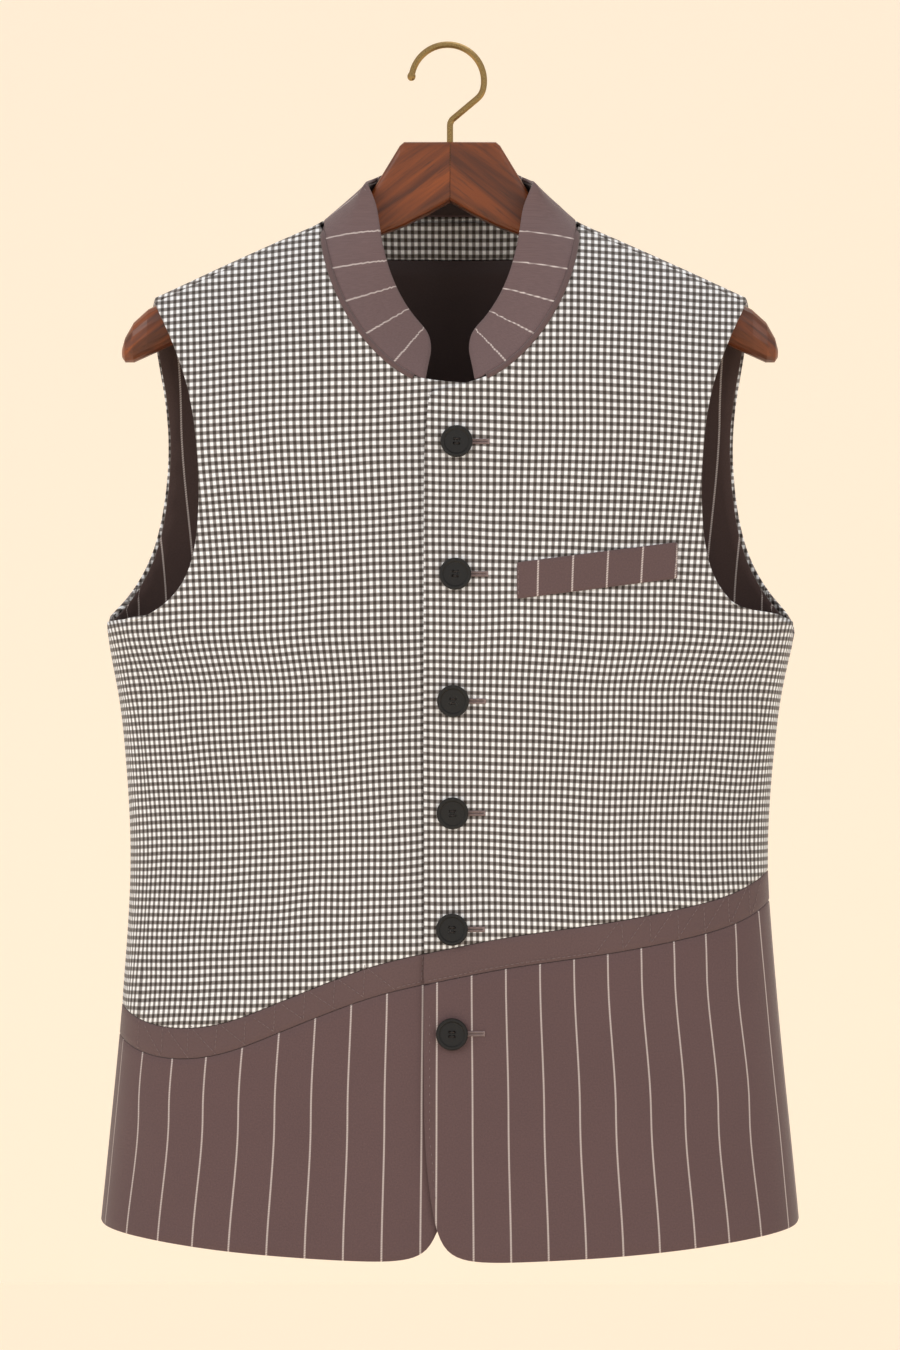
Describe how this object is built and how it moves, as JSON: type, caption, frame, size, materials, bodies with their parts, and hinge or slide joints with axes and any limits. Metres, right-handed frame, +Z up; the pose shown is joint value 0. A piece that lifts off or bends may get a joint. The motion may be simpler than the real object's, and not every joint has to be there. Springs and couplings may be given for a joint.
{
  "type": "nehru jacket on a wooden coat hanger",
  "caption": "Sleeveless band-collared jacket, checked above a slanting band and striped below, hanging on a wooden coat hanger.",
  "frame": {"origin": "inside of the top of the hook's bend, where it bears on a rail", "axes": "+Z up, the front of the jacket towards -Y, the wearer's left towards +X"},
  "size_m": [0.4836, 0.153, 0.8284],
  "materials": {
    "checked_cloth": "woven gingham in white, grey and dark brown, matt",
    "striped_cloth": "plain plum-brown cloth with thin off-white stripes, matt",
    "plain_cloth": "plain plum-brown cloth, matt",
    "lining_cloth": "plain dark plum lining, smooth",
    "horn": "black, softly polished",
    "walnut": "walnut, waxed",
    "brass": "antiqued brass wire"
  },
  "bodies": {
    "root": {"front_right_upper": "checked_cloth", "front_left_upper": "checked_cloth", "back_upper": "checked_cloth", "back_neck_facing": "checked_cloth", "front_right_band": "plain_cloth", "front_left_band": "plain_cloth", "back_band": "plain_cloth", "front_right_skirt": "striped_cloth", "front_left_skirt": "striped_cloth", "back_skirt": "striped_cloth", "collar": "striped_cloth", "welt_pocket": "striped_cloth", "armhole_facing_left": "striped_cloth", "armhole_facing_right": "striped_cloth", "collar_lining": "lining_cloth", "back_lining": "lining_cloth", "button_1": "horn", "button_2": "horn", "button_3": "horn", "button_4": "horn", "button_5": "horn", "button_6": "horn", "hanger_right": "walnut", "hanger_left": "walnut", "hook": "brass"}
  },
  "joints": []
}
